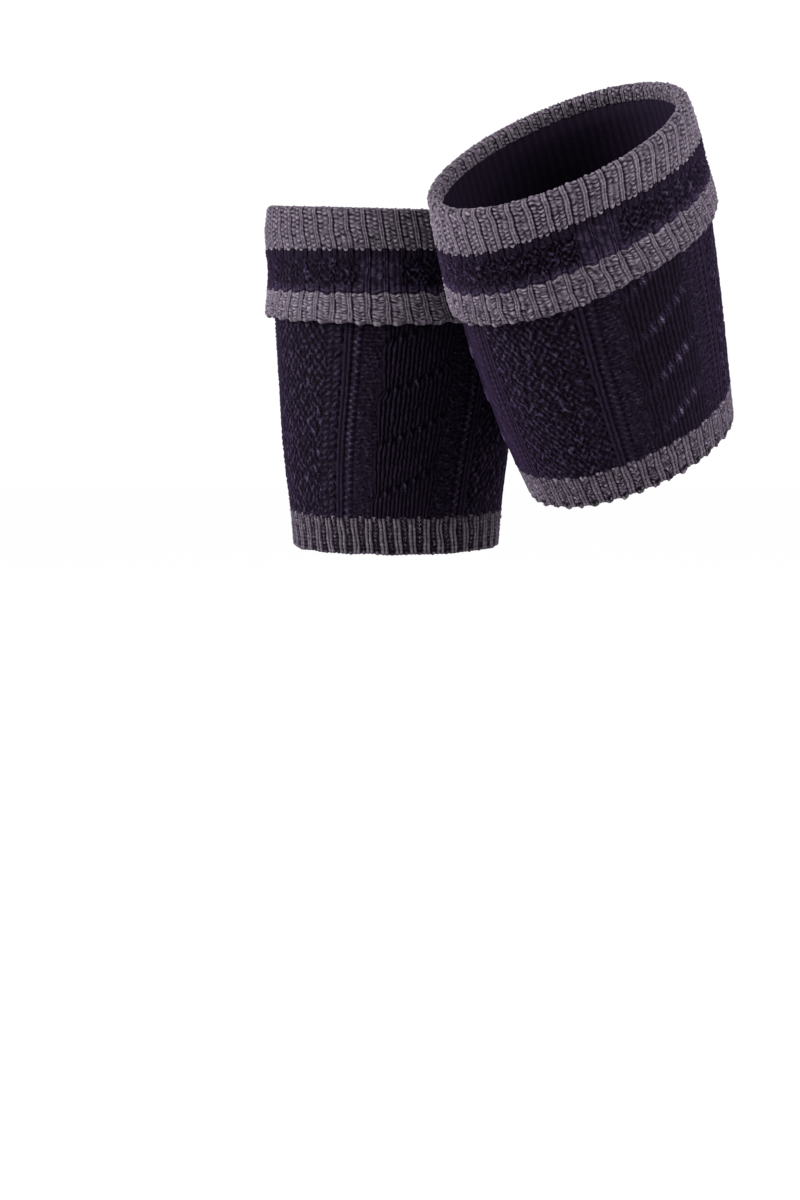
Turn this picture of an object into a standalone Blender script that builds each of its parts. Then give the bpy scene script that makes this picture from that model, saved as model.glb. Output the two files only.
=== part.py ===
# Pair of knitted calf warmers in the shape they have when worn: one upright, one leaning forward.
# Metres, +Z up. The origin is the centre of the upright warmer's top opening.
# Each warmer is made in its own frame: Z up through the tube from 0 at the fold, -X its front.
# Each one is knitted in five stretches: rib hem, cable tube, and a turned-down cuff in three bands.

import bpy
from collections import namedtuple
from math import cos, pi, radians, sin

MM = 0.001
RING_POINTS = 36  # corners of each ring
CLOTH = 3.0  # wall of the knit, mm
SEAM_GAP = 0.3  # between two stretches of knit, mm
LAYER_GAP = 0.4  # between the cuff and the tube inside it, where they lie closest, mm

# Where each stretch ends, in mm down from the fold. The fold rib is fullest at its shoulder.
FOLD_INSIDE_END = 8.0
FOLD_SHOULDER = 12.0
FOLD_RIB_END = 22.5
BAND_END = 45.0
CUFF_END = 62.0
TUBE_END = 161.0
HEM_END = 182.0

FOLD_RADIUS = CLOTH + LAYER_GAP / 2
FOLD_STEPS = 6
EDGE_ROUND = 0.9  # rounding of the cuff's and the hem's free edge, mm

# Outer half sizes of the knit at a level, and how far the section lies back of and beside the
# axis, mm.
Section = namedtuple("Section", "down half_length half_width back aside", defaults=(0.0,))

UPRIGHT_TUBE = (
    Section(0, 66.8, 57.8, 0.8),
    Section(20, 66.6, 57.6, 0.9),
    Section(45, 66.3, 57.4, 1.1),
    Section(62, 66.4, 57.4, 1.3),
    Section(95, 64.3, 57.0, 1.1),
    Section(122, 61.9, 56.0, 0.3),
    Section(140, 59.8, 55.0, 0.0),
    Section(161, 57.3, 54.0, 0.0),
    Section(182, 55.6, 53.5, 0.0),
)
UPRIGHT_CUFF = (
    Section(0, 70.2, 61.2, 0.8),
    Section(12, 71.2, 62.2, 0.8),
    Section(23, 70.6, 62.0, 0.9),
    Section(35, 70.0, 62.3, 1.0),
    Section(45, 70.4, 63.4, 1.1),
    Section(55, 71.4, 64.8, 1.2),
    Section(62, 71.0, 64.6, 1.3),
)
LEANING_TUBE = (
    Section(0, 67.4, 59.2, 0.0, 0.0),
    Section(20, 68.6, 57.7, -0.6, 3.0),
    Section(45, 69.8, 57.4, -1.7, 7.0),
    Section(62, 70.4, 58.2, -2.5, 9.6),
    Section(90, 68.8, 58.0, -4.6, 13.6),
    Section(120, 65.8, 57.4, -6.4, 18.0),
    Section(150, 62.4, 55.6, -6.4, 25.0),
    Section(182, 58.2, 53.3, -5.4, 33.0),
)
LEANING_CUFF = (
    Section(0, 70.8, 62.6, 0.0, 0.0),
    Section(12, 72.2, 62.0, -0.3, 1.8),
    Section(23, 73.2, 61.4, -0.7, 3.5),
    Section(35, 73.9, 61.2, -1.3, 5.4),
    Section(45, 74.3, 61.8, -1.7, 7.0),
    Section(55, 74.9, 63.2, -2.2, 8.5),
    Section(62, 74.6, 63.4, -2.5, 9.6),
)

# Place of each warmer: centre of its top opening in mm, and how it is turned and leans, in degrees.
Place = namedtuple("Place", "x y z turn lean roll")

UPRIGHT_PLACE = Place(0, 0, 0, turn=10, lean=0, roll=0)
LEANING_PLACE = Place(80, -129, 31, turn=24, lean=27, roll=8.5)


def make_wool(name, color, roughness):
    wool = bpy.data.materials.new(name)
    wool.use_nodes = True
    shader = wool.node_tree.nodes["Principled BSDF"]
    shader.inputs["Base Color"].default_value = (*color, 1.0)
    shader.inputs["Roughness"].default_value = roughness
    shader.inputs["Metallic"].default_value = 0.0
    return wool


def section_at(table, down):
    """The section at a level, on a smooth curve through the table's rows."""
    last = len(table) - 1
    row = max(i for i in range(last) if down >= table[i].down or i == 0)
    low, high = table[row], table[row + 1]
    span = high.down - low.down
    t = (down - low.down) / span

    def slope(i, column):
        before, after = table[max(i - 1, 0)], table[min(i + 1, last)]
        return (after[column] - before[column]) / (after.down - before.down)

    values = [down]
    for column in range(1, len(low)):
        rise = slope(row, column) * span
        fall = slope(row + 1, column) * span
        step = high[column] - low[column]
        bend = t * (1 - t) * ((1 - t) * (rise - step) - t * (fall - step))
        values.append(low[column] + t * step + bend)
    return Section(*values)


def grown(section, by, down=None):
    """The section with its surface moved out by so many mm, at another level if one is given."""
    level = section.down if down is None else down
    return section._replace(
        down=level,
        half_length=section.half_length + by,
        half_width=section.half_width + by,
    )


def wall(table, start, end, levels, round_end=False):
    """Closed profile of a wall between two levels: down its outer face and up its inner face."""
    outer_end = end - EDGE_ROUND if round_end else end
    steps = [start + (outer_end - start) * i / levels for i in range(levels + 1)]
    outer = [section_at(table, down) for down in steps]
    inner = [grown(section, -CLOTH) for section in reversed(outer)]
    edge = []
    if round_end:
        last = section_at(table, end)
        edge = [grown(last, -EDGE_ROUND), grown(last, -(CLOTH - EDGE_ROUND))]
    return outer + edge + inner


def fold_wall(tube, cuff):
    """Closed profile of the rib that rises inside, turns over the top edge and comes down outside."""
    middle = LAYER_GAP / 2
    crown = section_at(tube, FOLD_RADIUS)

    def arc(radius, angles):
        return [
            grown(crown, middle + radius * cos(a), FOLD_RADIUS - radius * sin(a)) for a in angles
        ]

    over = arc(FOLD_RADIUS, [pi * (1 - i / FOLD_STEPS) for i in range(FOLD_STEPS + 1)])
    under = arc(LAYER_GAP / 2, [0, pi / 2, pi])
    outside = [section_at(cuff, down) for down in (FOLD_SHOULDER, FOLD_RIB_END - SEAM_GAP / 2)]
    inside_foot = section_at(tube, FOLD_INSIDE_END - SEAM_GAP / 2)
    return (
        over
        + outside
        + [grown(section, -CLOTH) for section in reversed(outside)]
        + under
        + [inside_foot, grown(inside_foot, -CLOTH)]
    )


def make_ring(name, profile, wool, parent):
    """One knitted stretch: its closed profile carried round the tube."""
    corners = []
    for section in profile:
        for i in range(RING_POINTS):
            angle = 2 * pi * i / RING_POINTS
            x = section.back + section.half_length * cos(angle)
            y = section.aside + section.half_width * sin(angle)
            corners.append((x * MM, y * MM, -section.down * MM))
    faces = []
    rows = len(profile)
    for row in range(rows):
        below = (row + 1) % rows
        for i in range(RING_POINTS):
            beside = (i + 1) % RING_POINTS
            faces.append(
                (
                    row * RING_POINTS + i,
                    below * RING_POINTS + i,
                    below * RING_POINTS + beside,
                    row * RING_POINTS + beside,
                )
            )
    mesh = bpy.data.meshes.new(name)
    mesh.from_pydata(corners, [], faces)
    mesh.materials.append(wool)
    mesh.shade_smooth()
    mesh.set_sharp_from_angle(angle=radians(50))
    ring = bpy.data.objects.new(name, mesh)
    ring.parent = parent
    bpy.context.scene.collection.objects.link(ring)
    return ring


def make_warmer(side, tube, cuff, place, grey, navy):
    """The five stretches of one warmer, hung on an empty that turns and leans it."""
    frame = bpy.data.objects.new(side + "_frame", None)
    frame.location = (place.x * MM, place.y * MM, place.z * MM)
    frame.rotation_euler = (radians(place.roll), radians(-place.lean), radians(place.turn))
    bpy.context.scene.collection.objects.link(frame)

    half = SEAM_GAP / 2
    hem = wall(tube, TUBE_END + half, HEM_END, 2, round_end=True)
    body = wall(tube, FOLD_INSIDE_END + half, TUBE_END - half, 8)
    fold = fold_wall(tube, cuff)
    band = wall(cuff, FOLD_RIB_END + half, BAND_END - half, 2)
    edge = wall(cuff, BAND_END + half, CUFF_END, 2, round_end=True)

    make_ring(side + "_hem_rib", hem, grey, frame)
    make_ring(side + "_cable_tube", body, navy, frame)
    make_ring(side + "_cuff_fold_rib", fold, grey, frame)
    make_ring(side + "_cuff_band", band, navy, frame)
    make_ring(side + "_cuff_edge_rib", edge, grey, frame)


def main():
    for old in list(bpy.data.objects):
        bpy.data.objects.remove(old, do_unlink=True)
    grey = make_wool("grey_wool", (0.12, 0.11, 0.125), 0.95)
    navy = make_wool("navy_wool", (0.012, 0.010, 0.022), 0.92)
    make_warmer("upright", UPRIGHT_TUBE, UPRIGHT_CUFF, UPRIGHT_PLACE, grey, navy)
    make_warmer("leaning", LEANING_TUBE, LEANING_CUFF, LEANING_PLACE, grey, navy)


main()
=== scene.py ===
from math import pi, radians

import bpy
import numpy as np
from mathutils import Euler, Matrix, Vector


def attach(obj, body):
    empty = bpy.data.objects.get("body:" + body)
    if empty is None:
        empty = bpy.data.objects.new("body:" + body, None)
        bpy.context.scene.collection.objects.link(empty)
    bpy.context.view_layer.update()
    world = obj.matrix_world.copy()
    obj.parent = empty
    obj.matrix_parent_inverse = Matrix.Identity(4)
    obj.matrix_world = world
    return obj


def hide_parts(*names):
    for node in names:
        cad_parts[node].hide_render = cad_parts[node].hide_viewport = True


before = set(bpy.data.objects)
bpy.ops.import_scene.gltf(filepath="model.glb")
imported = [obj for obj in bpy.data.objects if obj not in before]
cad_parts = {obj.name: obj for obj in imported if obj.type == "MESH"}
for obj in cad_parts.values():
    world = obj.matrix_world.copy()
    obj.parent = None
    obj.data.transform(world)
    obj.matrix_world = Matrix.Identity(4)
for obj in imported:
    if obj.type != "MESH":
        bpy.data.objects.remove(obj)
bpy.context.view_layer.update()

mm = 0.001
fullTurn = 360.0
unitTurn = fullTurn / 3  # the pattern repeats three times round
cloth = 3.0  # wall of the knit, mm
cuffThinner = 0.1  # mm, which keeps the cuff's wall clear of the tube
layerGap = 0.4  # between the cuff and the tube inside it, where they lie closest, mm
seam = 0.12  # how far each of two stretches ends from the line between them, mm
degreesPerMm = 0.9  # round a warmer

# Levels in mm down from the fold, and garment angles in degrees. A section row is: level, outer half
# length, outer half width, how far back, how far aside. "facing" is the angle that faces the camera.
# foldEnd, bandEnd: the cuff's two seams, which lie higher in front by foldRise and bandRise. cuffRise: how
# far the cuff's edge rides up in front and at the sides. hemLower: how far the hem's seam has slipped
# down. crownDrop: how far the fold sinks in front, and how much more on its right. cableAt: the middle of
# the front cable. cableTwist: degrees it turns to a mm down. strokeRise: how steep the ladder's strokes
# are. messy: how far stretching has blurred the pattern, 0 to 1. knotShine, knotSize: how strong the painted
# highlight on the cable's knots is, and how wide they are. cableWales: smooth wales in a cable. moss: how
# fine and how patchy.
warmers = {
    "upright": {
        "place": (0, 0, 0), "turn": 10, "lean": 0, "roll": 0, "facing": 260,
        "tube": (
            (0, 66.8, 57.8, 0.8, 0), (20, 66.6, 57.6, 0.9, 0), (45, 66.3, 57.4, 1.1, 0),
            (62, 66.4, 57.4, 1.3, 0), (95, 64.3, 57.0, 1.1, 0), (122, 61.9, 56.0, 0.3, 0),
            (140, 59.8, 55.0, 0, 0), (161, 57.3, 54.0, 0, 0), (182, 55.6, 53.5, 0, 0),
        ),
        "cuff": (
            (0, 70.2, 61.2, 0.8, 0), (12, 71.2, 62.2, 0.8, 0), (23, 70.6, 62.0, 0.9, 0),
            (35, 70.0, 62.3, 1.0, 0), (45, 70.4, 63.4, 1.1, 0), (55, 71.4, 64.8, 1.2, 0),
            (62, 71.0, 64.6, 1.3, 0),
        ),
        "foldEnd": 21.8, "foldRise": 0.4, "bandEnd": 43.6, "bandRise": -0.8,
        "cableAt": 272.5, "cableTwist": -0.09, "strokeRise": 1.0, "messy": 0.15, "knotShine": 0.9,
        "knotSize": 2.2, "cableWales": 16, "cuffRise": (1.5, 4.2), "hemLower": 1.2,
        "crownDrop": (0.7, 1.6), "moss": (1.02, 0.2),
    },
    "leaning": {
        "place": (80, -129, 31), "turn": 24, "lean": 27, "roll": 8.5, "facing": 246,
        "tube": (
            (0, 67.4, 59.2, 0, 0), (20, 68.6, 57.7, -0.6, 3.0), (45, 69.8, 57.4, -1.7, 7.0),
            (62, 70.4, 58.2, -2.5, 9.6), (90, 68.8, 58.0, -4.6, 13.6), (120, 65.8, 57.4, -6.4, 18.0),
            (150, 62.4, 55.6, -6.4, 25.0), (182, 58.2, 53.3, -5.4, 33.0),
        ),
        "cuff": (
            (0, 70.8, 62.6, 0, 0), (12, 72.2, 62.0, -0.3, 1.8), (23, 73.2, 61.4, -0.7, 3.5),
            (35, 73.9, 61.2, -1.3, 5.4), (45, 74.3, 61.8, -1.7, 7.0), (55, 74.9, 63.2, -2.2, 8.5),
            (62, 74.6, 63.4, -2.5, 9.6),
        ),
        "foldEnd": 23.4, "foldRise": 3.6, "bandEnd": 45.2, "bandRise": 1.6,
        "cableAt": 273.0, "cableTwist": 0.015, "strokeRise": 0.2, "messy": 0.75, "knotShine": 1.06,
        "knotSize": 3.6, "cableWales": 14, "cuffRise": (0, 0), "hemLower": 0,
        "crownDrop": (0, 0), "moss": (1.1, 0.22),
    },
}
# crownFades: where the fold's sinking fades out. footInside: where the fold rib ends inside. At the three
# middles the ribs lie at their own angles, and at foldSeam and bandSeam the band's wales meet them.
levels = {
    "crownFades": (4.0, 20.0), "footInside": 7.85, "tubeTop": 8.15, "foldMiddle": 12.0, "shoulder": 12.0,
    "foldSeam": 22.0, "bandSeam": 44.0, "edgeMiddle": 53.0, "cuffEnd": 62.0,
    "tubeEnd": 161.0, "hemMiddle": 171.0, "hemEnd": 182.0,
}


def smooth(value, low, high):
    t = np.clip((value - low) / (high - low), 0, 1)
    return t * t * (3 - 2 * t)


def bump(value, centre, half):  # 1 at the centre, 0 from half away on
    return 0.5 + 0.5 * np.cos(pi * np.clip((value - centre) / half, -1, 1))


def gapLine(phase, half):  # 1 on the line between two rows, 0 on the stitches
    return bump(np.mod(phase, 1), 0.5, half)


def onWale(wale):  # 1 along the middle of each wale, 0 between two
    return np.abs(np.sin(pi * wale))


def nameSeed(name):
    return sum(ord(letter) * (i + 3) for i, letter in enumerate(name))


chanceRows = 240  # more rows than any stretch has
hair = 1e-6  # puts a point on the line between two stitches into the next one


def stitchChance(name, wale, row, wales):
    # One number for each stitch, from -2 to 2, most of them near 0
    chance = np.random.default_rng(nameSeed(name)).normal(0, 1, (wales, chanceRows))
    wale, row = np.broadcast_arrays(wale, row)
    column = np.floor(wale + hair).astype(int) % wales
    return np.clip(chance[column, np.floor(row + hair).astype(int) % chanceRows], -2, 2)


def unevenness(name, wale, row, wales):
    # The same numbers, changing smoothly from each stitch to the next
    wale, row = np.broadcast_arrays(wale, row)
    u = smooth(wale - np.floor(wale + hair), 0, 1)
    v = smooth(row - np.floor(row + hair), 0, 1)

    def alongRow(row):
        chance = stitchChance(name, wale, row, wales)
        return chance * (1 - u) + stitchChance(name, wale + 1, row, wales) * u

    return alongRow(row) * (1 - v) + alongRow(row + 1) * v


def waver(angle, down, seed, waves=6, along=0.05, turns=(2, 24)):
    # An uneven swing of about -1 to 1 that meets itself round the ring. turns: fewest and most swings
    # round it. along: how far they drift on the way down.
    dice = np.random.default_rng(seed)
    total = 0 * angle + 0 * down
    for i in range(waves):
        around = np.radians(dice.integers(*turns) * angle)
        total = total + np.sin(around + dice.normal(0, along) * down + dice.uniform(0, 2 * pi))
    return total / waves ** 0.5


def sectionAt(table, down):
    # The section at a level, on the same smooth curve through the rows as the part
    rows = np.array(table, float)
    knots = rows[:, 0]
    before = np.maximum(np.arange(len(knots)) - 1, 0)
    after = np.minimum(np.arange(len(knots)) + 1, len(knots) - 1)
    slopes = (rows[after] - rows[before]) / (knots[after] - knots[before])[:, None]
    low = np.clip(np.searchsorted(knots, down, side="right") - 1, 0, len(knots) - 2)
    span = knots[low + 1] - knots[low]
    t = (down - knots[low]) / span
    values = []
    for column in range(1, 5):
        rise = slopes[low, column] * span
        fall = slopes[low + 1, column] * span
        step = rows[low + 1, column] - rows[low, column]
        bend = t * (1 - t) * ((1 - t) * (rise - step) - t * (fall - step))
        values.append(rows[low, column] + t * step + bend)
    return values


def layCloth(warmer, layer, angle, down, out, level=None):
    # Points in metres: out is mm outside the layer's section at "down", drawn at "level"
    angle, down, out = np.broadcast_arrays(angle, np.asarray(down, float), out)
    halfLength, halfWidth, back, aside = sectionAt(warmer[layer], down)
    turned = np.radians(angle)
    x = back + (halfLength + out) * np.cos(turned)
    y = aside + (halfWidth + out) * np.sin(turned)
    level = down if level is None else np.broadcast_to(level, down.shape)
    front, side = warmer["crownDrop"]
    drop = front + side * np.sin(turned - radians(warmer["facing"]))
    z = -level - drop * (1 - smooth(level, *levels["crownFades"]))
    tilt = Euler((radians(warmer["roll"]), radians(-warmer["lean"]), radians(warmer["turn"])))
    local = np.stack([x, y, z], -1) * mm
    return local @ np.array(tilt.to_matrix()).T + np.array(warmer["place"]) * mm


# A shell is a list of bands of rings. Each point has a wale, a row, a height from 0 (deep between the
# yarns) to 1 (crest of a stitch), which the wool's colour paints as shade in the gaps and highlight on the
# crests, and purl, which is 1 where the cloth shows its purl side.
def band(points, wale, row, height, purl):
    shape = points.shape[:2]
    values = {"wale": wale, "row": row, "height": height, "purl": purl}
    return {"points": points, **{key: np.broadcast_to(value, shape) for key, value in values.items()}}


def bridge(low, high, lowUv, highUv, wales):
    # Faces between two rings, where one may have half the other's points
    def shifted(ids, uv, by):
        moved = np.roll(uv, -by, axis=0).copy()
        moved[len(moved) - by:, 0] += wales
        return np.roll(ids, -by), moved

    if len(low) == len(high):
        lowNext, lowNextUv = shifted(low, lowUv, 1)
        highNext, highNextUv = shifted(high, highUv, 1)
        faces = np.stack([low, high, highNext, lowNext], 1)
        return faces, np.stack([lowUv, highUv, highNextUv, lowNextUv], 1)
    fineIsLow = len(low) > len(high)
    fine, fineUv, coarse, coarseUv = (low, lowUv, high, highUv) if fineIsLow else (high, highUv, low, lowUv)
    one, oneUv = shifted(fine, fineUv, 1)
    two, twoUv = shifted(fine, fineUv, 2)
    beside, besideUv = shifted(coarse, coarseUv, 1)
    faces = np.stack([fine[::2], coarse, beside, two[::2], one[::2]], 1)
    uvs = np.stack([fineUv[::2], coarseUv, besideUv, twoUv[::2], oneUv[::2]], 1)
    return (faces, uvs) if fineIsLow else (faces[:, ::-1], uvs[:, ::-1])


def addObject(name, data):
    item = bpy.data.objects.new(name, data)
    bpy.context.scene.collection.objects.link(item)
    return item


def makeShell(name, bands, wales, wool):
    # One closed mesh from its rings, the last joined to the first
    rings = []
    start = 0
    for b in bands:
        count, columns = b["points"].shape[:2]
        for i in range(count):
            rings.append((np.arange(columns) + start, np.stack([b["wale"][i], b["row"][i]], 1)))
            start += columns
    faces, uvs = [], []
    for (ids, uv), (nextIds, nextUv) in zip(rings, rings[1:] + rings[:1]):
        ringFaces, ringUvs = bridge(ids, nextIds, uv, nextUv, wales)
        faces += ringFaces.tolist()
        uvs.append(ringUvs.reshape(-1, 2))
    mesh = bpy.data.meshes.new(name)
    mesh.from_pydata(np.concatenate([b["points"].reshape(-1, 3) for b in bands]).tolist(), [], faces)
    stitches = mesh.uv_layers.new(name="stitches")
    stitches.data.foreach_set("uv", np.concatenate(uvs).astype(np.float32).ravel())
    for label in ("height", "purl"):
        attribute = mesh.attributes.new(label, "FLOAT", "POINT")
        values = np.concatenate([b[label].ravel() for b in bands])
        attribute.data.foreach_set("value", values.astype(np.float32))
    mesh.materials.append(wool)
    mesh.shade_smooth()
    piece = addObject(name, mesh)
    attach(piece, "root")
    print(f"  {name}: {sum(len(face) - 2 for face in faces)} triangles")


def linearColor(text):
    channels = [int(text[i:i + 2], 16) / 255 for i in (1, 3, 5)]
    return (*[c / 12.92 if c <= 0.04045 else ((c + 0.055) / 1.055) ** 2.4 for c in channels], 1.0)


def addNode(tree, kind, settings=None, inputs=None, links=None):
    node = tree.nodes.new(kind)
    for key, value in (settings or {}).items():
        setattr(node, key, value)
    for key, value in (inputs or {}).items():
        node.inputs[key].default_value = value
    for key, socket in (links or {}).items():
        tree.links.new(socket, node.inputs[key])
    return node


def addMath(tree, operation, inputs, links):
    return addNode(tree, "ShaderNodeMath", {"operation": operation}, inputs, links).outputs[0]


# Carded wool, spun soft and worsted weight. Melange: dark and pale fibres carded together, so each yarn
# is flecked along its length. Loose fibres stand out of it: matt, soft at the rims. Its shades are painted
# shade and highlight: darkest deep in the gaps, palest on the crests.
# A wool fibre is 0.03 mm thick, too fine to show, so fibreMm draws it ten times as coarse.
# reliefMm: the heights that get the darkest painted shade and the lightest painted highlight.
greyLook = {
    "shades": ((0.0, "#080509"), (0.3, "#252028"), (0.62, "#4a434d"), (1.0, "#756d77")),
    "fleck": 0.42, "fleckMm": 0.8, "fibreMm": 0.3, "roughness": 0.9, "sheen": 0.06, "bloom": "#cfa8d6",
    "reliefMm": (-1.1, 0.75),
}
# The same wool dyed navy in the yarn. Its shades are painted: shade almost black in the gaps, highlight
# bluish violet on the crests, where fibres catch light.
navyLook = {
    "shades": ((0.0, "#010002"), (0.25, "#050209"), (0.52, "#150e1c"), (0.78, "#352c3f"), (1.0, "#6f6676")),
    "fleck": 0.22, "fleckMm": 0.8, "fibreMm": 0.3, "roughness": 0.88, "sheen": 0.12, "bloom": "#a070c8",
    "reliefMm": (-1.2, 1.1),
}
# The yarns in a stitch slant, in rows to a wale. They show a little in the painted shade and more in the
# relief.
yarnLook = {"slant": 1.3, "inShade": 0.05, "inRelief": 0.16, "bump": 0.7, "bumpMm": 0.3, "ior": 1.55}


def woolMaterial(name, look):
    wool = bpy.data.materials.new(name)
    wool.use_nodes = True
    tree = wool.node_tree
    tree.nodes.clear()
    height = addNode(tree, "ShaderNodeAttribute", {"attribute_name": "height"})
    purl = addNode(tree, "ShaderNodeAttribute", {"attribute_name": "purl"})
    place = addNode(tree, "ShaderNodeTexCoord")
    stitch = addNode(tree, "ShaderNodeUVMap", {"uv_map": "stitches"})
    split = addNode(tree, "ShaderNodeSeparateXYZ", links={"Vector": stitch.outputs["UV"]})
    # knit side: the two halves of each stitch slant away from its middle. purl side: bumps in rows
    across = addMath(tree, "PINGPONG", {1: 0.5}, {0: split.outputs["X"]})
    slant = addMath(tree, "MULTIPLY_ADD", {1: yarnLook["slant"]}, {0: across, 2: split.outputs["Y"]})
    waves = []
    for operation, phase in (("SINE", slant), ("COSINE", split.outputs["X"]), ("COSINE", split.outputs["Y"])):
        turned = addMath(tree, "MULTIPLY", {1: 2 * pi}, {0: phase})
        waves.append(addMath(tree, operation, None, {0: turned}))
    slanted, waleWave, rowWave = waves
    bumps = addMath(tree, "MULTIPLY", None, {0: waleWave, 1: rowWave})
    yarn = addNode(tree, "ShaderNodeMix", {"data_type": "FLOAT"}, None,
                   {"Factor": purl.outputs["Fac"], "A": slanted, "B": bumps})
    fleck = addNode(tree, "ShaderNodeTexNoise", None,
                    {"Scale": 1 / (look["fleckMm"] * mm), "Detail": 2.0, "Roughness": 0.7},
                    {"Vector": place.outputs["Object"]})
    # painted shade and highlight of the wool at each place: dark in the gaps, light on the crests, yarn by
    # yarn, with its flecks
    withYarn = addMath(tree, "MULTIPLY_ADD", {1: yarnLook["inShade"]},
                       {0: yarn.outputs["Result"], 2: height.outputs["Fac"]})
    withFleck = addMath(tree, "MULTIPLY_ADD", {1: 2 * look["fleck"]}, {0: fleck.outputs["Fac"], 2: withYarn})
    shade = addMath(tree, "SUBTRACT", {1: look["fleck"]}, {0: withFleck})
    color = addNode(tree, "ShaderNodeValToRGB", links={"Fac": shade})
    stops = color.color_ramp.elements
    while len(stops) < len(look["shades"]):
        stops.new(0.5)
    for stop, (position, text) in zip(stops, look["shades"]):
        stop.position = position
        stop.color = linearColor(text)
    fibre = addNode(tree, "ShaderNodeTexNoise", None,
                    {"Scale": 1 / (look["fibreMm"] * mm), "Detail": 3.0, "Roughness": 0.7},
                    {"Vector": place.outputs["Object"]})
    lift = addMath(tree, "MULTIPLY_ADD", {1: yarnLook["inRelief"]},
                   {0: yarn.outputs["Result"], 2: fibre.outputs["Fac"]})
    relief = addNode(tree, "ShaderNodeBump", None,
                     {"Strength": yarnLook["bump"], "Distance": yarnLook["bumpMm"] * mm}, {"Height": lift})
    shader = addNode(tree, "ShaderNodeBsdfPrincipled", None,
                     {"Roughness": look["roughness"], "IOR": yarnLook["ior"], "Specular IOR Level": 0.05,
                      "Sheen Weight": look["sheen"], "Sheen Roughness": 0.4,
                      "Sheen Tint": linearColor(look["bloom"])},
                     {"Base Color": color.outputs["Color"], "Normal": relief.outputs["Normal"]})
    addNode(tree, "ShaderNodeOutputMaterial", links={"Surface": shader.outputs["BSDF"]})
    return wool


greyWool = woolMaterial("greyMelangeWool", greyLook)
navyWool = woolMaterial("navyWool", navyLook)
print("wool carded and dyed")

# Ribs: two knit wales and two purl wales, over and over.
ribs = 46
ribWales = 4 * ribs
ribSpread = 0.12  # how much further apart than even the ribs lie at the sides
ribDepth = 0.75  # the worn wool fills the furrows, so a rib stands out less than its painted shade shows
ringsPerRow = 4
# row: mm. knitShare: how wide a knit wale is, as a share of its rib. density: under 1, the ribs lie
# further apart in front than behind. lean: sideways mm to a mm down in front, and leanSide is how much
# more of it there is a quarter turn on. start: where the first rib lies. wobble: how far they waver, mm.
# Heights in mm, which shape the cloth and set its painted shade and highlight: knit crest, cleft between the
# knit wales, purl bed, bead on it, furrow beside the beads.
# second: height of the second purl wale's beads, of the first's. stagger: how many rows apart the two lie.
# valley: dip between them. uneven: how much one stitch differs from the next, 0 to 1. At a free edge:
# scallop is how much shorter the purl wales end, sink how much deeper they lie there, and lastHole the
# depth of the hole they end in.
ribStyles = {
    "upright_cuff_fold_rib": {
        "row": 2.25, "knitShare": 0.14, "density": 0.94, "lean": 0.15, "leanSide": -0.05, "start": 3.0,
        "wobble": 0.18, "knit": 0.25, "cleft": 0.55, "purl": -0.6, "bead": 1.1, "second": 0.92,
        "stagger": 0.4, "valley": 0.65, "furrow": 0.42, "uneven": 0.35},
    "upright_cuff_edge_rib": {
        "row": 1.95, "knitShare": 0.145, "density": 0.82, "lean": 0.12, "leanSide": 0.32, "start": 5.5,
        "wobble": 0.4, "knit": 0.3, "cleft": 0.5, "purl": -0.35, "bead": 0.9, "second": 0.95,
        "stagger": 0.5, "valley": 0.75, "furrow": 0.45, "uneven": 0.6,
        "scallop": -0.8, "sink": 0.0, "lastHole": 0.3},
    "upright_hem_rib": {
        "row": 2.2, "knitShare": 0.28, "density": 0.88, "lean": 0.08, "leanSide": 0.0, "start": 1.0,
        "wobble": 0.35, "knit": 0.15, "cleft": 1.05, "purl": -1.2, "bead": 0.85, "second": 1.0,
        "stagger": 0.0, "valley": -0.8, "furrow": 0.3, "uneven": 0.4,
        "scallop": -0.3, "sink": 0.45, "lastHole": 0.5},
    "leaning_cuff_fold_rib": {
        "row": 2.3, "knitShare": 0.15, "density": 0.88, "lean": 0.02, "leanSide": -0.28, "start": 0.0,
        "wobble": 0.2, "knit": 0.45, "cleft": 0.6, "purl": -0.6, "bead": 1.25, "second": 0.92,
        "stagger": 0.45, "valley": 0.7, "furrow": 0.65, "uneven": 0.5},
    "leaning_cuff_edge_rib": {
        "row": 1.95, "knitShare": 0.14, "density": 0.91, "lean": 0.1, "leanSide": 0.15, "start": 2.0,
        "wobble": 0.4, "knit": 0.3, "cleft": 0.55, "purl": -0.45, "bead": 0.95, "second": 0.95,
        "stagger": 0.5, "valley": 0.85, "furrow": 0.5, "uneven": 0.7,
        "scallop": -0.9, "sink": 0.0, "lastHole": 0.3},
    "leaning_hem_rib": {
        "row": 2.2, "knitShare": 0.24, "density": 0.8, "lean": 0.03, "leanSide": 0.0, "start": 4.0,
        "wobble": 0.4, "knit": 0.2, "cleft": 0.75, "purl": -0.55, "bead": 0.85, "second": 0.85,
        "stagger": 0.5, "valley": 0.45, "furrow": 0.55, "uneven": 0.8,
        "scallop": -1.7, "sink": 0.1, "lastHole": 1.4},
}


def ribPoints():
    # Wale of each point round a rib: four to a knit wale, five to a purl wale
    oneRib = np.concatenate([np.arange(8) / 4, 2 + np.arange(10) / 5])
    return (4 * np.arange(ribs)[:, None] + oneRib).reshape(1, -1)


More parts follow.
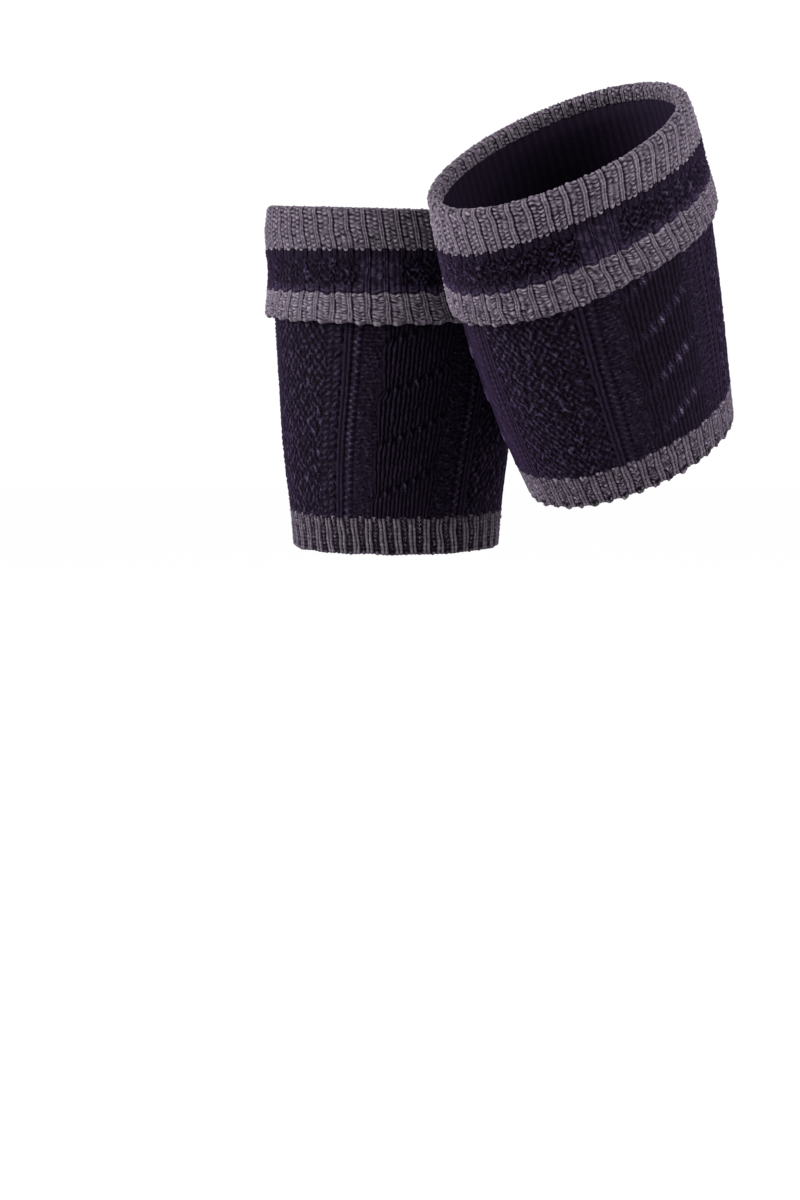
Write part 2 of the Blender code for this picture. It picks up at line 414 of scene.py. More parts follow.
def ribAngle(warmer, name, wale, down, middle):
    # Where a wale of the rib lies round the ring, in degrees
    style = ribStyles[name]
    share = style["knitShare"]
    inRib = np.interp(np.mod(wale, 4), (0, 1, 2, 3, 4), (0, share, 2 * share, share + 0.5, 1))
    even = (np.floor(wale / 4) + inRib) * fullTurn / ribs + style["start"]
    turned = np.radians(even - warmer["facing"])
    spread = (1 - style["density"]) * np.sin(turned) - ribSpread / 2 * np.sin(2 * turned)
    angle = even + np.degrees(spread)
    lean = style["lean"] + style["leanSide"] * np.sin(np.radians(angle - warmer["facing"]))
    wobble = style["wobble"] * waver(even, down, nameSeed(name), 8, 0.25)
    tug = 0.35 * style["wobble"] * waver(even, down, nameSeed(name) + 1, 8, 0.9, (40, 90))
    return angle + (lean * (down - middle) + wobble + tug) * degreesPerMm


def ribPurl(wale):  # 1 in the purl wales, 0 in the knit wales
    part = np.mod(wale, 4)
    return smooth(part, 1.85, 2.2) * (1 - smooth(part, 3.8, 4.0))


def ribLobes(wale):  # the same, with each wale rounded at its end
    arch = onWale(wale)
    return np.where(np.mod(wale, 4) < 2, 0.3 * arch ** 0.5, arch ** 0.35)


def ribRelief(name, wale, row):
    # How far the rib's stitches stand out of the cloth, in mm
    style = ribStyles[name]
    part = np.mod(wale, 4)
    own = stitchChance(name, wale, row, ribWales)
    sway = unevenness(name + "sway", wale, row, ribWales)
    aside = unevenness(name + "aside", wale, row, ribWales)
    ridge = onWale(part) ** 0.6
    knit = style["knit"] - style["cleft"] * (1 - ridge) + 0.1 * sway - 0.15 * gapLine(row, 0.3)
    along = part - 2  # wales from the start of the purl pair
    phase = row - style["stagger"] * smooth(along, 0.9, 1.1) + 0.35 * style["uneven"] * sway
    gap = gapLine(phase, 0.4) * np.clip(1 + style["uneven"] * own, 0.2, 1.3)
    dip = style["valley"] * bump(along + 0.3 * style["uneven"] * aside, 1, 0.45)
    across = smooth(along, 0, 0.4) * (1 - smooth(along, 1.7, 2.0)) * (1 - dip)
    across = across * (1 - (1 - style["second"]) * smooth(along, 0.9, 1.1))
    purl = style["purl"] + style["bead"] * across * (1 - gap) * (1 + (0.08 + 0.25 * style["uneven"]) * own)
    plies = unevenness(name + "plies", 2 * wale, 2 * row, 2 * ribWales)
    height = np.where(part < 2, knit, purl) + (0.08 + 0.3 * style["uneven"] * (part >= 2)) * plies
    # the furrows: dips in the cloth, which the colour also darkens with painted shade
    before = (0.35 + 0.45 * gap) * (bump(part, 4.0, 0.3) + bump(part, 0.0, 0.25))
    after = (0.75 + 0.35 * gap) * bump(part, 2.0, 0.4)
    return height - style["furrow"] * (before + after)


def crest(relief, look):  # relief in mm to height from 0 to 1, the level of painted shade and highlight
    low, high = look["reliefMm"]
    return np.clip((relief - low) / (high - low), 0, 1)


def seamLevel(warmer, which, angle):
    # The level of the seam below the fold rib ("fold") or below the navy band ("band")
    inFront = np.exp(3 * (np.cos(np.radians(angle - warmer["facing"] - 3)) - 1))  # 1 there, less aside
    return warmer[which + "End"] - warmer[which + "Rise"] * inFront


def waleAt(warmer, name, angle, down, middle):  # the rib's wale at this angle
    wales = np.arange(0, ribWales, 0.2)
    angles = ribAngle(warmer, name, wales, down, middle)
    order = np.argsort(angles)
    wrapped = angles[0] + np.mod(angle - angles[0], fullTurn)
    return np.interp(wrapped, angles[order], wales[order])


# The colours meet on a toothed line, because the purl wales lie deeper in the row than the knit wales.
teeth = {"fold": 1.9, "band": 0.8, "hem": 1.7}  # mm


def foldSeam(side, angle, wale=None):
    warmer = warmers[side]
    if wale is None:
        wale = waleAt(warmer, side + "_cuff_fold_rib", angle, levels["foldSeam"], levels["foldMiddle"])
    return seamLevel(warmer, "fold", angle) + teeth["fold"] * (ribLobes(wale) - 0.5)


def bandSeam(side, angle, wale=None):
    warmer = warmers[side]
    if wale is None:
        wale = waleAt(warmer, side + "_cuff_edge_rib", angle, levels["bandSeam"], levels["edgeMiddle"])
    uneven = 0.45 * waver(angle, 0 * angle, 41, 9, 0, (10, 40))
    uneven = uneven + 0.3 * waver(angle, 0 * angle, 42, 9, 0, (50, 110)) - 0.5 * onWale(wale)
    return seamLevel(warmer, "band", angle) + teeth["band"] * (ribPurl(wale) - 0.5) + uneven


def hemSeam(side, angle, wale=None):
    if wale is None:
        wale = waleAt(warmers[side], side + "_hem_rib", angle, levels["tubeEnd"], levels["hemMiddle"])
    level = levels["tubeEnd"] + warmers[side]["hemLower"]
    return level - teeth["hem"] * (ribLobes(wale) - 0.5) + 0.3 * waver(angle, 0 * angle, 43, 7)


# The ribs with a free edge: the seam at their top, and their levels.
edgedRibs = {
    "hem_rib": {"layer": "tube", "seam": hemSeam, "top": "tubeEnd", "middle": "hemMiddle", "end": "hemEnd"},
    "cuff_edge_rib": {"layer": "cuff", "seam": bandSeam, "top": "bandSeam", "middle": "edgeMiddle",
                      "end": "cuffEnd"},
}
# The free edge: mm kept for its rounding, mm that its line wavers, steps over the rounding, and how far
# down the rib the last hole lies, 0 to 1. Inside, how many mm its purl wales and its rows stand out.
freeEdge = {"room": 1.6, "waver": 0.35, "steps": 8, "holeAt": 0.9, "innerWales": 0.3, "innerRows": 0.12}


def makeEdgedRib(side, stretch):
    # A rib that ends in a free, rounded edge
    plan = edgedRibs[stretch]
    name = f"{side}_{stretch}"
    warmer = warmers[side]
    style = ribStyles[name]
    topLevel, middle, endLevel = (levels[plan[key]] for key in ("top", "middle", "end"))
    wale = ribPoints()
    purl = ribPurl(wale)
    top = plan["seam"](side, ribAngle(warmer, name, wale, topLevel, middle), wale) + seam
    angleAtEnd = ribAngle(warmer, name, wale, endLevel, middle)
    block = np.sin(pi * np.clip(np.mod(wale, 4) - 1.7, 0, 2.3) / 2.3) ** 0.8  # each pair of purl wales
    end = endLevel - freeEdge["room"] - style["scallop"] * (block - 0.5)
    end = end + freeEdge["waver"] * waver(angleAtEnd, 0 * angleAtEnd, nameSeed(name) + 5, 9)
    if stretch == "cuff_edge_rib":  # the worn cuff rides up a little, most at its sides
        front, sides = warmer["cuffRise"]
        end = end - front - (sides - front) * np.sin(np.radians(angleAtEnd - warmer["facing"])) ** 2
    rows = round((endLevel - float(top.mean())) / style["row"])
    t = np.linspace(0, 1, rows * ringsPerRow + 1)[:, None]
    down = top + (end - top) * t
    row = t * rows
    angle = ribAngle(warmer, name, wale, down, middle)
    # the last hole: a dip in the cloth, darkened by painted shade
    hole = style["lastHole"] * bump(t, freeEdge["holeAt"], 0.08) * bump(np.mod(wale, 4), 3.1, 0.9)
    relief = ribRelief(name, wale, row) - purl * style["sink"] * t - hole
    relief = relief + 0.45 * purl * bump(t, 0.04, 0.07) - 0.2 * bump(t, 0, 0.02)  # raised beads at the seam, made light by painted highlight
    outerPoints = layCloth(warmer, plan["layer"], angle, down, ribDepth * relief)
    outer = band(outerPoints, wale, row, crest(relief, greyLook), purl)
    turns = np.linspace(0, pi, freeEdge["steps"])[1:-1, None]
    edgeRelief = relief[-1] * 0.6 + 0.1
    radius = cloth / 2 + edgeRelief * (0.5 + 0.5 * np.cos(turns))
    edgePoints = layCloth(warmer, plan["layer"], angle[-1] + 0 * turns, end + 0 * turns,
                          radius * np.cos(turns) - cloth / 2, end + radius * np.sin(turns))
    # the rounded edge gets darker as it turns under: painted shade
    edge = band(edgePoints, wale, rows + turns * 0.6, crest(edgeRelief - 0.2 * turns, greyLook), purl)
    half = wale[:, ::2]
    k = np.linspace(0, 1, rows + 1)[:, None]
    innerDown = (end + (top - end) * k)[:, ::2]
    innerAngle = ribAngle(warmer, name, half, innerDown, middle)
    # seen from inside, the purl wales are the ones that stand out
    innerWave = freeEdge["innerWales"] * (1 - ribPurl(half))
    innerWave = innerWave + freeEdge["innerRows"] * (np.arange(rows + 1) % 2)[:, None]
    innerPoints = layCloth(warmer, plan["layer"], innerAngle, innerDown, innerWave - cloth)
    inner = band(innerPoints, half, rows * (2 - k) + 2, 0.66 - innerWave, 1 - ribPurl(half))
    makeShell(name + "_knit", [outer, edge, inner], ribWales, greyWool)


print("knitting ribs")
for side in warmers:
    for stretch in edgedRibs:
        makeEdgedRib(side, stretch)


# The fold: how deep the relief is inside it, its crown's row in the random numbers, and the hidden way
# back: where the cuff's inner face ends, the level of the neck under the fold and how far out it lies, the
# gap above the tube, and how far out the foot's hidden face lies, in mm.
foldRib = {"insideDepth": 0.5, "crownRow": 40, "innerTop": 14.0, "neckLevel": 6.0, "neckOut": 0.45,
           "underGap": 0.3, "footOut": -0.05}


def makeFoldRib(side):
    # The rib that rises inside, turns over the top edge and comes down outside
    name = side + "_cuff_fold_rib"
    warmer = warmers[side]
    rowHeight = ribStyles[name]["row"]
    middle, footInside = levels["foldMiddle"], levels["footInside"]
    halfGap = layerGap / 2
    foldRadius = cloth + halfGap
    ring = rowHeight / ringsPerRow
    wale = ribPoints()
    purl = ribPurl(wale)

    def ribAt(row):  # rows are counted from the fold's crown
        return ribRelief(name, wale, row + foldRib["crownRow"])

    # inside, going up
    downIn = np.linspace(footInside, foldRadius, round((footInside - foldRadius) / ring))[:, None]
    rowIn = -(downIn + (pi - 1) * foldRadius) / rowHeight
    reliefIn = ribAt(rowIn)
    angleIn = ribAngle(warmer, name, wale, -downIn, middle)
    depth = foldRib["insideDepth"]
    pointsIn = layCloth(warmer, "tube", angleIn, downIn, -cloth - depth * reliefIn)
    inside = band(pointsIn, wale, rowIn, crest(reliefIn, greyLook), purl)
    # over the top edge
    steps = round(pi * foldRadius / ring)
    turn = pi * (1 - np.arange(1, steps)[:, None] / steps)
    rowOver = (1 - turn) * foldRadius / rowHeight
    reliefOver = ribAt(rowOver)
    radius = foldRadius + reliefOver * (depth + (ribDepth - depth) * (0.5 - 0.5 * np.cos(pi - turn)))
    angleOver = ribAngle(warmer, name, wale, (1 - turn) * foldRadius, middle)
    pointsOver = layCloth(warmer, "tube", angleOver, np.full_like(turn, foldRadius),
                          halfGap + radius * np.cos(turn), foldRadius - radius * np.sin(turn))
    over = band(pointsOver, wale, rowOver, crest(reliefOver, greyLook), purl)
    # down outside
    end = foldSeam(side, ribAngle(warmer, name, wale, levels["foldSeam"], middle), wale) - seam
    length = float(end.mean()) - foldRadius
    t = np.linspace(0, 1, round(length / ring))[:, None]
    down = foldRadius + (end - foldRadius) * t
    rowOut = (foldRadius + length * t) / rowHeight
    angle = ribAngle(warmer, name, wale, down, middle)
    relief = ribAt(rowOut) + 0.3 * purl * bump(t, 0.97, 0.06)
    share = smooth(down, foldRadius, levels["shoulder"])[..., None]
    outOfTube = cloth + layerGap + ribDepth * relief
    onTube = layCloth(warmer, "tube", angle, 0 * down + foldRadius, outOfTube, down)
    onCuff = layCloth(warmer, "cuff", angle, down, ribDepth * relief)
    outside = band(onTube * (1 - share) + onCuff * share, wale, rowOut, crest(relief, greyLook), purl)
    # hidden: up inside the cuff, round under the fold and down to the foot
    half = wale[:, ::2]

    def hiddenKnit(layer, down, out, level=None, way=1):
        return layCloth(warmer, layer, ribAngle(warmer, name, half, way * down, middle), down, out, level)

    innerDown = end[:, ::2] + (foldRib["innerTop"] - end[:, ::2]) * np.array([0, 0.5, 1])[:, None]
    innerFace = hiddenKnit("cuff", innerDown, cuffThinner - cloth)
    neck = hiddenKnit("tube", np.array([[foldRib["neckLevel"]], [foldRadius]]), foldRib["neckOut"])
    crown = np.array([[foldRadius]])
    under = hiddenKnit("tube", crown, halfGap, crown - foldRib["underGap"])
    foot = hiddenKnit("tube", np.array([[foldRadius], [footInside]]), foldRib["footOut"], way=-1)
    back = band(np.concatenate([innerFace, neck, under, foot]), half, 0.0, 0.3, 1.0)
    makeShell(name + "_knit", [inside, over, outside, back], ribWales, greyWool)


for side in warmers:
    makeFoldRib(side)

# The navy band round the cuff: the patterned knit turned wrong side out, with ribs running into it.
# points: to a wale. ribTop, ribFoot: how far the ribs run in, mm. cableHalf: half a cable, in degrees.
# moss: its wales to a wale of the rib, and its rows to a row.
bandKnit = {"rows": 13, "points": 4, "ribTop": 5.0, "ribFoot": 4.0, "cableAt": 254.0, "cableHalf": 9.0,
            "moss": (1.25, 1.8)}


def mossRelief(name, wale, row, wales):
    # One knit, one purl, changed over after every two rows: raised specks with painted highlight between
    # holes with painted shade, none alike
    aside = 0.32 * unevenness(name + "aside", wale, row, wales)
    lower = 0.5 * unevenness(name + "lower", wale, row, wales)
    check = np.cos(pi * (wale + aside)) * np.cos(pi * (row + lower) / 2)  # 1 on a speck, -1 on a hole
    rough = unevenness(name + "rough", 2 * wale, row, 2 * wales)
    return -1.15 + 1.5 * smooth(check + 0.4 * rough, -0.65, 0.7)


def makeCuffBand(side):
    name = side + "_cuff_band"
    upper, lower = side + "_cuff_fold_rib", side + "_cuff_edge_rib"
    warmer = warmers[side]
    rows = bandKnit["rows"]
    wale = (np.arange(ribWales * bandKnit["points"]) / bandKnit["points"])[None, :]
    t = np.linspace(0, 1, rows * 2 + 1)[:, None]
    row = t * rows
    # the wales follow the fold rib at the top and the edge rib at the foot
    angleTop = ribAngle(warmer, upper, wale, levels["foldSeam"], levels["foldMiddle"])
    angleFoot = ribAngle(warmer, lower, wale, levels["bandSeam"], levels["edgeMiddle"])
    oneRib = fullTurn / ribs
    shift = np.round((angleTop - angleFoot).mean() / oneRib) * oneRib
    angle = angleTop + (angleFoot + shift - angleTop) * smooth(t, 0.1, 0.95)
    top = foldSeam(side, angle[:1]) + seam
    end = bandSeam(side, angle[-1:]) - seam
    down = top + (end - top) * t
    own = stitchChance(name, wale, row, ribWales)
    shake = waver(angle, down, nameSeed(name), 8, 0.9, (50, 120))
    angle = angle + 0.35 * shake * bump(t, 0.5, 0.5)
    down = down + 0.3 * waver(angle, down, nameSeed(name) + 1, 8, 0.7, (40, 110)) * bump(t, 0.5, 0.5)
    part = np.mod(wale, 4)
    ridge = onWale(part) ** 0.7
    furrow = 0.8 * bump(part, 2.0, 0.45) + 0.45 * (bump(part, 4.0, 0.35) + bump(part, 0.0, 0.35))
    rungs = 0.25 * ribPurl(wale) * np.cos(2 * pi * row)
    ribbed = 0.1 + 0.3 * ridge - furrow + rungs
    ribTop = 1 - smooth(down - top, bandKnit["ribTop"] * 0.5, bandKnit["ribTop"] * 1.2)
    ribFoot = 0.8 - 0.8 * smooth(end - down, bandKnit["ribFoot"] * 0.5, bandKnit["ribFoot"] * 1.4)
    ribbing = np.clip(ribTop + ribFoot, 0, 1)
    away = np.mod(angle - bandKnit["cableAt"] + unitTurn / 2, unitTurn) - unitTurn / 2
    cable = 1 - smooth(np.abs(away), bandKnit["cableHalf"] - 2, bandKnit["cableHalf"] + 2)
    lines = -0.35 + 0.55 * onWale(wale) ** 0.8 + 0.12 * own
    patch = 0.16 * waver(angle, down, nameSeed(name) + 2, 8, 0.4, (12, 60))
    mossWales, mossRows = bandKnit["moss"]
    moss = mossRelief(name, mossWales * wale, mossRows * row, round(mossWales * ribWales))
    moss = (0.72 + 0.3 * warmer["messy"] + patch) * moss + patch - 0.1
    relief = ribbed * ribbing + (moss * (1 - cable) + lines * cable) * (1 - ribbing) + 0.05 * own
    relief = relief - 0.3 * bump(t, 0, 0.04) - 0.3 * bump(t, 1, 0.04)
    height = crest(relief - 0.5 * ribTop, navyLook)  # painted shadow of the fold rib: darkest just under it
    outer = band(layCloth(warmer, "cuff", angle, down, relief), wale, row, height, 1.0)
    half = wale[:, ::2]
    innerDown = (end + (top - end) * np.linspace(0, 1, 4)[:, None])[:, ::2]
    innerPoints = layCloth(warmer, "cuff", angle[-1:, ::2] + 0 * innerDown, innerDown, cuffThinner - cloth)
    inner = band(innerPoints, half, 0.0, 0.4, 1.0)
    makeShell(name + "_knit", [outer, inner], ribWales, navyWool)


print("knitting cuff bands")
for side in warmers:
    makeCuffBand(side)

# The tube: three units round. A unit has a cable in its middle, and on each side of it, going out: plain
# knit, a column of beads, two smooth knit wales, and moss stitch, with a ladder of strokes on its left.
# start: level where the pattern starts, under the cuff. cableHalf to ladderEnd: where these end, in wales
# from the cable's middle. cablePeriod: mm between the cable's slanting lines. cableFirst: level of the
# first. cableRise: mm that they rise to the right. knots: in a line. knotBelow: mm that they lie below it.
# dotMm: from stitch to stitch in a knot.
tubeKnit = {
    "row": 1.68, "points": 4, "unitWales": 56, "start": 56.0, "innerRings": 15,
    "cableHalf": 8, "plainEnd": 13, "beadEnd": 15, "pairEnd": 17, "ladderEnd": 21,
    "cablePeriod": 27.2, "cableFirst": 61.0, "cableRise": 16.0, "cableWide": 36.0,
    "knots": 7, "knotBelow": 0.8, "dotMm": 2.8, "tongueIn": (1.5, 2.2), "tongueDown": 0.7,
}
tubeWales = 3 * tubeKnit["unitWales"]
halfUnit = tubeKnit["unitWales"] / 2
# wales out from a cable's middle, and the angle there
panelWales = (-28, -17, -15, -13, -8, 0, 8, 13, 15, 17, 28)
panelAngles = (-60, -37, -32, -27, -16.5, 0, 16.5, 27, 32, 37, 60)


def fromCable(wale):  # wales from the middle of the nearest cable, less than 0 on its left
    return np.mod(wale + halfUnit, tubeKnit["unitWales"]) - halfUnit


def crossingLevel(across):  # of the first crossing line, from 0 at the cable's left side to 1 at its right
    return tubeKnit["cableFirst"] + tubeKnit["cableRise"] * (0.5 - across ** 1.25)


def cablePhase(wale, down):
    # 0 just below a crossing line, 1 just above the next. The lines rise to the right, ever steeper.
    across = np.clip((fromCable(wale) / tubeKnit["cableHalf"] + 1) / 2, 0, 1)
    return across, np.mod((down - crossingLevel(across)) / tubeKnit["cablePeriod"], 1)


def tubeAngle(warmer, wale, down):
    unit = np.floor((wale + halfUnit) / tubeKnit["unitWales"])
    offset = fromCable(wale)
    base = unit * unitTurn + np.interp(offset, panelWales, panelAngles)
    sway = 0.28 * waver(base, down, 11, 8, 0.06)
    # the cable's sides swell out below each crossing and draw in towards the next
    _, phase = cablePhase(wale, down)
    side = bump(np.abs(offset), tubeKnit["cableHalf"], 3.5) * np.sign(offset)
    swell = 2.2 * side * (smooth(phase, 0, 0.2) * (1 - phase) - 0.4)
    return warmer["cableAt"] + base + warmer["cableTwist"] * (down - levels["cuffEnd"]) + sway + swell


def ladderRelief(warmer, wale, row, own, moss):
    # Two columns of short slanting strokes. Where the knit is stretched they are lost in the moss stitch.
    inner, outer = tubeKnit["pairEnd"] + 0.3, tubeKnit["ladderEnd"]
    across = (fromCable(wale) + outer) / (outer - inner)
    sway = unevenness("ladder", wale, row, tubeWales)
    phase = row / 2 + warmer["strokeRise"] * across + 0.5 * (across > 0.5) + 0.15 * sway
    stroke = gapLine(phase, 0.45) * np.clip(0.95 + 0.25 * own, 0.3, 1.2)
    split = bump(across, 0, 0.2) + bump(across, 0.5, 0.16) + 0.6 * bump(across, 1, 0.2)
    strokes = 0.35 - 1.3 * stroke - 0.5 * split
    return strokes + warmer["messy"] * (moss - strokes)


def tubeRelief(warmer, wale, down, row):
    # How far the tube's stitches stand out of the cloth, in mm
    plainEnd, beadEnd, pairEnd = tubeKnit["plainEnd"], tubeKnit["beadEnd"], tubeKnit["pairEnd"]
    offset = fromCable(wale)
    out = np.abs(offset)
    own = stitchChance("tube", wale, row, tubeWales)
    ridge = onWale(wale)
    fine, patchy = warmer["moss"]
    moss = 0.92 * mossRelief("moss", fine * wale, 1.23 * fine * row, round(fine * tubeWales)) - 0.09
    moss = moss + patchy * waver(wale * fullTurn / tubeWales, down, 21, 8, 0.4, (12, 60))
    ladder = ladderRelief(warmer, wale, row, own, moss)
    pair = -0.85 * (1 - ridge ** 0.5) + 0.06 * own
    # beads: a zigzag of raised blobs with painted highlight between two columns of holes with painted shade
    gappy = np.clip(0.8 + 0.4 * unevenness("gappy", wale, row / 2, tubeWales), 0.1, 1.3)
    holeOut = gappy * bump(out, beadEnd, 0.5) * gapLine(row / 2, 0.36)
    holeIn = gappy * bump(out, plainEnd, 0.6) * gapLine(row / 2 + 0.5, 0.36)
    zigzag = (plainEnd + beadEnd) / 2 + 0.35 * np.cos(pi * row)
    blob = bump(out, zigzag, 0.8) * (0.85 + 0.15 * np.cos(2 * pi * row))
    beads = -0.55 + (1.05 - 0.5 * warmer["messy"]) * blob * np.clip(1 + 0.3 * own, 0.4, 1.4)
    # plain: the purl side of stocking stitch, almost smooth, its rows bending up to the beads
    bend = 0.25 * (out - 10) ** 2 / 9
    rows = 0.24 + 0.15 * smooth(out, plainEnd - 2, plainEnd)
    plain = rows * np.cos(2 * pi * (0.8 * row + bend)) - 0.33
    plain = plain + 0.31 * unevenness("plain", 2 * wale, 2 * row, 2 * tubeWales)
    cable = cableStitches(warmer, wale, down, own)
    inLadder = (offset < -pairEnd) & (offset >= -tubeKnit["ladderEnd"])
    relief = np.select([out < tubeKnit["cableHalf"], out < plainEnd, out < beadEnd, out < pairEnd, inLadder],
                       [cable, plain, beads, pair, ladder], moss)
    # creases and holes: dips in the cloth, darkened further by painted shade
    creases = 0.3 * bump(out, pairEnd, 0.4) + 0.25 * bump(out, tubeKnit["cableHalf"], 0.4)
    return relief - creases - 0.8 * holeOut - 0.6 * holeIn


def cableStitches(warmer, wale, down, own):
    # Smooth wales, and down each slanting line a chain of knots, each a cluster of short stitches made light
    # by painted highlight
    across, phase = cablePhase(wale, down)
    count, period = tubeKnit["knots"], tubeKnit["cablePeriod"]
    middle = (np.clip(np.floor(across * count), 0, count - 1) + 0.5) / count
    aside = (across - middle) * tubeKnit["cableWide"]  # mm right of the knot's middle
    cycle = (down - crossingLevel(middle)) / period
    below = (cycle - np.round(cycle)) * period  # mm below the line
    knot = middle * count + (count + 1) * np.floor(wale / tubeKnit["unitWales"])
    chance = stitchChance("knots", knot, np.round(cycle) + 3, 3 * (count + 1))
    strength = (0.55 + 0.45 * smooth(middle, 0.15, 0.4)) * (1 - 0.4 * smooth(middle, 0.85, 1))
    strength = warmer["knotShine"] * strength * (1 + 0.15 * chance)
    size, dot = warmer["knotSize"], tubeKnit["dotMm"]
    cluster = bump(np.hypot(aside / size, (below - tubeKnit["knotBelow"]) / (1.3 * size)), 0, 1) ** 0.5
    dots = np.cos(2 * pi * (aside + 0.6 * below) / dot) * np.cos(2 * pi * (below - 0.3 * aside) / dot)
    # painted shadow darkens the wales where they dive under the line, and they lie flat behind the knots
    under = bump(phase * period, 0.3, 2.4) + bump(period * (1 - phase), 0.3, 1.6)
    ridge = onWale(across * warmer["cableWales"]) ** 0.6
    wales = (1.4 - 0.4 * warmer["messy"]) * ridge * (1 - cluster * np.clip(strength, 0, 1))
    dive = (1.1 - 0.6 * warmer["messy"]) * under * (1 - cluster)
    return wales - 1.45 + 0.1 * own + strength * cluster * (1.5 + 0.75 * dots) - dive


def cableForm(wale, down):
    # The cable's slight swell, and its strands lapping over each other at each slanting line
    across, phase = cablePhase(wale, down)
    above = (1 - phase) * tubeKnit["cablePeriod"]
    inCable = 1 - smooth(np.abs(fromCable(wale)), tubeKnit["cableHalf"] - 0.3, tubeKnit["cableHalf"] + 0.3)
    overlap = smooth(phase, 0.05, 0.9) * smooth(above, 0, 3.5)
    return inCable * (0.3 * (1 - np.abs(2 * across - 1) ** 4) + 0.4 * overlap * bump(across, 0.55, 0.62))


def makeTube(side):
    name = side + "_cable_tube"
    warmer = warmers[side]
    start, cableHalf = tubeKnit["start"], tubeKnit["cableHalf"]
    plainEnd, pairEnd = tubeKnit["plainEnd"], tubeKnit["pairEnd"]
    wale = (np.arange(tubeWales * tubeKnit["points"]) / tubeKnit["points"])[None, :]
    end = hemSeam(side, tubeAngle(warmer, wale, levels["tubeEnd"])) - seam
    rows = round((levels["tubeEnd"] - start) / tubeKnit["row"])
    t = np.linspace(0, 1, rows * 2 + 1)[:, None]
    down = start + (end - start) * t
    row = t * rows
    out = np.abs(fromCable(wale))
    free = bump(t, 0.5, 0.5) ** 0.2  # stitches at the two ends stay in line
    inMoss = smooth(out, pairEnd, pairEnd + 1)
    inCable = 1 - smooth(out, cableHalf - 1, cableHalf + 1)
    loose = (0.15 + 0.15 * inMoss + 0.12 * inCable) * free
    angle = tubeAngle(warmer, wale, down) + loose * unevenness(name + "aside", wale, row, tubeWales)
    lower = 1.1 * loose * unevenness(name + "lower", wale, row, tubeWales)
    relief = tubeRelief(warmer, wale, down, row) * smooth(down, start, start + 2)
    plain = smooth(out, cableHalf, cableHalf + 0.5) * (1 - smooth(out, plainEnd, plainEnd + 0.5))
    shallow = 1 - 0.35 * inMoss  # the moss stitch's cloth stands out less than its painted shade shows
    # the cloth rises at most 0.4 mm, so the light of higher crests and knots is painted highlight only
    form = shallow * np.minimum(relief, 0.4) + cableForm(wale, down)
    outerPoints = layCloth(warmer, "tube", angle, down + lower, form)
    outer = band(outerPoints, wale, row, crest(relief, navyLook), plain + 0 * row)
    # a tongue inside the hem's cloth, so that no light comes through the seam
    tongueOut = -np.array(tubeKnit["tongueIn"])[:, None]
    tonguePoints = layCloth(warmer, "tube", angle[-1:], end, tongueOut, end + tubeKnit["tongueDown"])
    tongue = band(tonguePoints, wale, rows, 0.3, 1.0)
    half = wale[:, ::2]
    k = np.linspace(0, 1, tubeKnit["innerRings"])[:, None]
    innerDown = end[:, ::2] + (levels["tubeTop"] - end[:, ::2]) * k
    innerAngle = tubeAngle(warmer, half, innerDown)
    ripple = 0.5 - 0.5 * np.cos(pi * half)
    innerPoints = layCloth(warmer, "tube", innerAngle, innerDown, 0.25 * ripple - cloth)
    inner = band(innerPoints, half, (end.mean() - innerDown) / tubeKnit["row"], 0.5 - 0.15 * ripple, 1.0)
    hiddenDown = np.array([levels["tubeTop"], 20.0, 35.0, 48.0])[:, None]
    hiddenPoints = layCloth(warmer, "tube", tubeAngle(warmer, half, hiddenDown), hiddenDown, 0.0)
    hidden = band(hiddenPoints, half, 0.0, 0.5, 1.0)
    makeShell(name + "_knit", [outer, tongue, inner, hidden], tubeWales, navyWool)


print("knitting tubes")
for side in warmers:
    makeTube(side)

# The imported parts that the shells stand in for, which are hidden, and the size each one's cloth was cut
# to: round the ring, and along it, in metres.
cutSizes = {
    "upright": {"hem_rib": (0.346, 0.021), "cable_tube": (0.378, 0.153), "cuff_fold_rib": (0.416, 0.029),
                "cuff_band": (0.418, 0.0225), "cuff_edge_rib": (0.424, 0.017)},
    "leaning": {"hem_rib": (0.357, 0.021), "cable_tube": (0.392, 0.153), "cuff_fold_rib": (0.421, 0.030),
                "cuff_band": (0.426, 0.0225), "cuff_edge_rib": (0.432, 0.017)},
}
for side, stretches in cutSizes.items():
    for stretch, size in stretches.items():
        node = f"{side}_{stretch}"
        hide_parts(node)

# Stage: a pale floor lit from below, white all round, large soft lamps at the sides and behind.
stage = {"floorLevel": -0.85, "floorReach": 8.0, "floorColor": "#7d7c7e", "floorGlow": 0.97,
         "seenWhite": 1.3, "lightFront": 0.05, "lightBack": 0.1, "front": (-0.1, -0.9, 0.42),
         "lampsAimAt": (0.05, -0.06, -0.06)}
lamps = {
    "leftLamp": {"place": (-2.0, -0.7, 0.7), "size": 1.6, "watts": 130},
    "rightLamp": {"place": (1.9, -1.15, 0.9), "size": 1.6, "watts": 103},
    "backLamp": {"place": (0.2, 2.6, 1.2), "size": 1.6, "watts": 170},
}
camera = {"lens": 98.9, "sensor": 36.0, "place": (0.0022, -1.78, 0.004), "lookDown": 6.92}


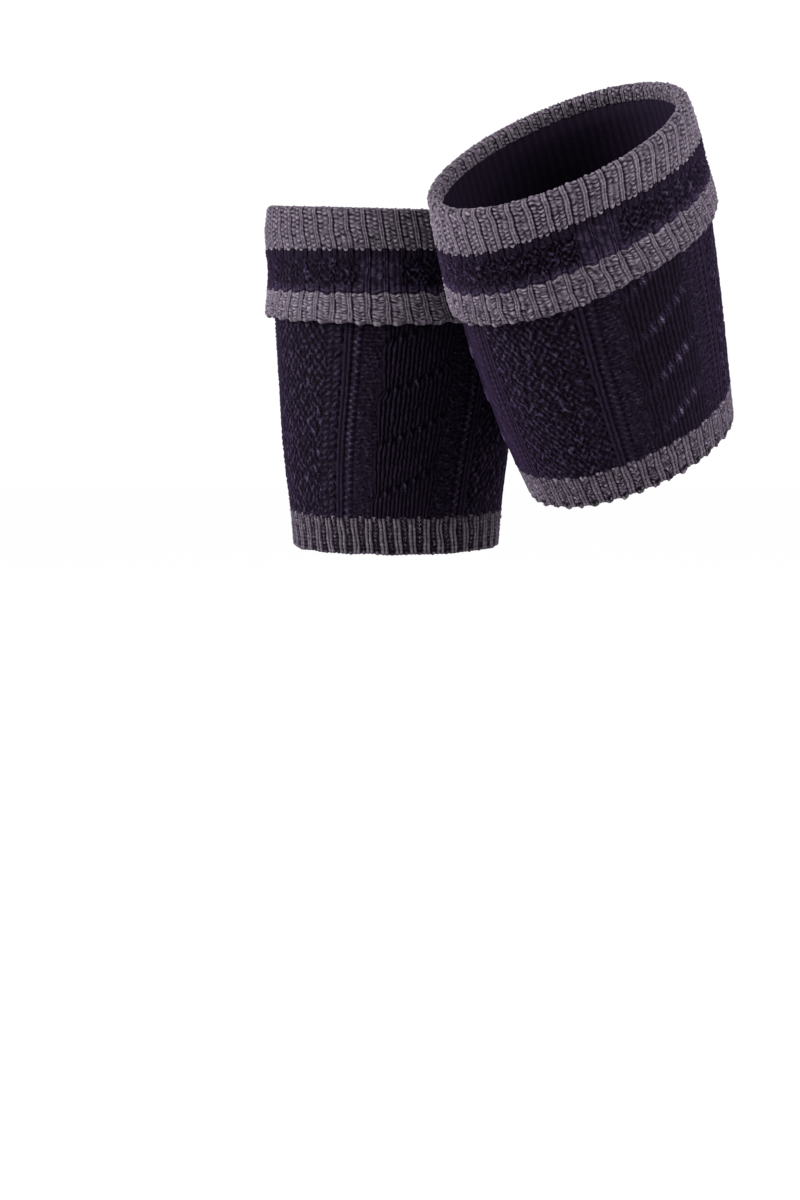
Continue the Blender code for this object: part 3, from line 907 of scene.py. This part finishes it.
def makeFloor():
    paint = bpy.data.materials.new("opalAcrylic")  # cast opal acrylic lit from below: even, almost white
    paint.use_nodes = True
    shader = paint.node_tree.nodes["Principled BSDF"]
    shader.inputs["Base Color"].default_value = linearColor(stage["floorColor"])
    shader.inputs["Roughness"].default_value = 0.9
    shader.inputs["Specular IOR Level"].default_value = 0.1
    shader.inputs["Emission Color"].default_value = (1, 1, 1, 1)
    shader.inputs["Emission Strength"].default_value = stage["floorGlow"]
    reach, level = stage["floorReach"], stage["floorLevel"]
    corners = [(x * reach, y * reach, level) for x, y in ((-1, -1), (1, -1), (1, 1), (-1, 1))]
    mesh = bpy.data.meshes.new("floor")
    mesh.from_pydata(corners, [], [(0, 1, 2, 3)])
    mesh.materials.append(paint)
    floor = addObject("floor", mesh)


def makeWorld():
    # Seen, it is white. As light it is far weaker, most of all from the front.
    world = bpy.data.worlds.new("paleStudio")
    world.use_nodes = True
    tree = world.node_tree
    tree.nodes.clear()
    way = addNode(tree, "ShaderNodeTexCoord")
    toFront = addNode(tree, "ShaderNodeVectorMath", {"operation": "DOT_PRODUCT"}, {1: stage["front"]},
                      {0: way.outputs["Generated"]})
    strength = addNode(tree, "ShaderNodeMapRange", None,
                       {"From Min": -1.0, "From Max": 1.0, "To Min": stage["lightBack"],
                        "To Max": stage["lightFront"]}, {"Value": toFront.outputs["Value"]})
    light = addNode(tree, "ShaderNodeBackground", links={"Strength": strength.outputs[0]})
    seen = addNode(tree, "ShaderNodeBackground", None, {"Strength": stage["seenWhite"]})
    path = addNode(tree, "ShaderNodeLightPath")
    both = addNode(tree, "ShaderNodeMixShader", links={
        0: path.outputs["Is Camera Ray"], 1: light.outputs[0], 2: seen.outputs[0]})
    addNode(tree, "ShaderNodeOutputWorld", links={"Surface": both.outputs[0]})
    bpy.context.scene.world = world
    bpy.context.scene.view_settings.view_transform = "Standard"


def makeLamps():
    target = Vector(stage["lampsAimAt"])
    for name, lamp in lamps.items():
        light = bpy.data.lights.new(name, "AREA")
        light.energy = lamp["watts"]
        light.size = lamp["size"]
        holder = addObject(name, light)
        holder.location = lamp["place"]
        holder.rotation_euler = (target - holder.location).to_track_quat("-Z", "Y").to_euler()


def makeCamera():
    lens = bpy.data.cameras.new("photoCamera")
    lens.lens = camera["lens"]
    lens.sensor_width = camera["sensor"]
    holder = addObject("photoCamera", lens)
    holder.location = camera["place"]
    holder.rotation_euler = (radians(90 - camera["lookDown"]), 0, 0)
    bpy.context.scene.camera = holder


makeFloor()
makeWorld()
makeLamps()
makeCamera()
print("stage and camera set")
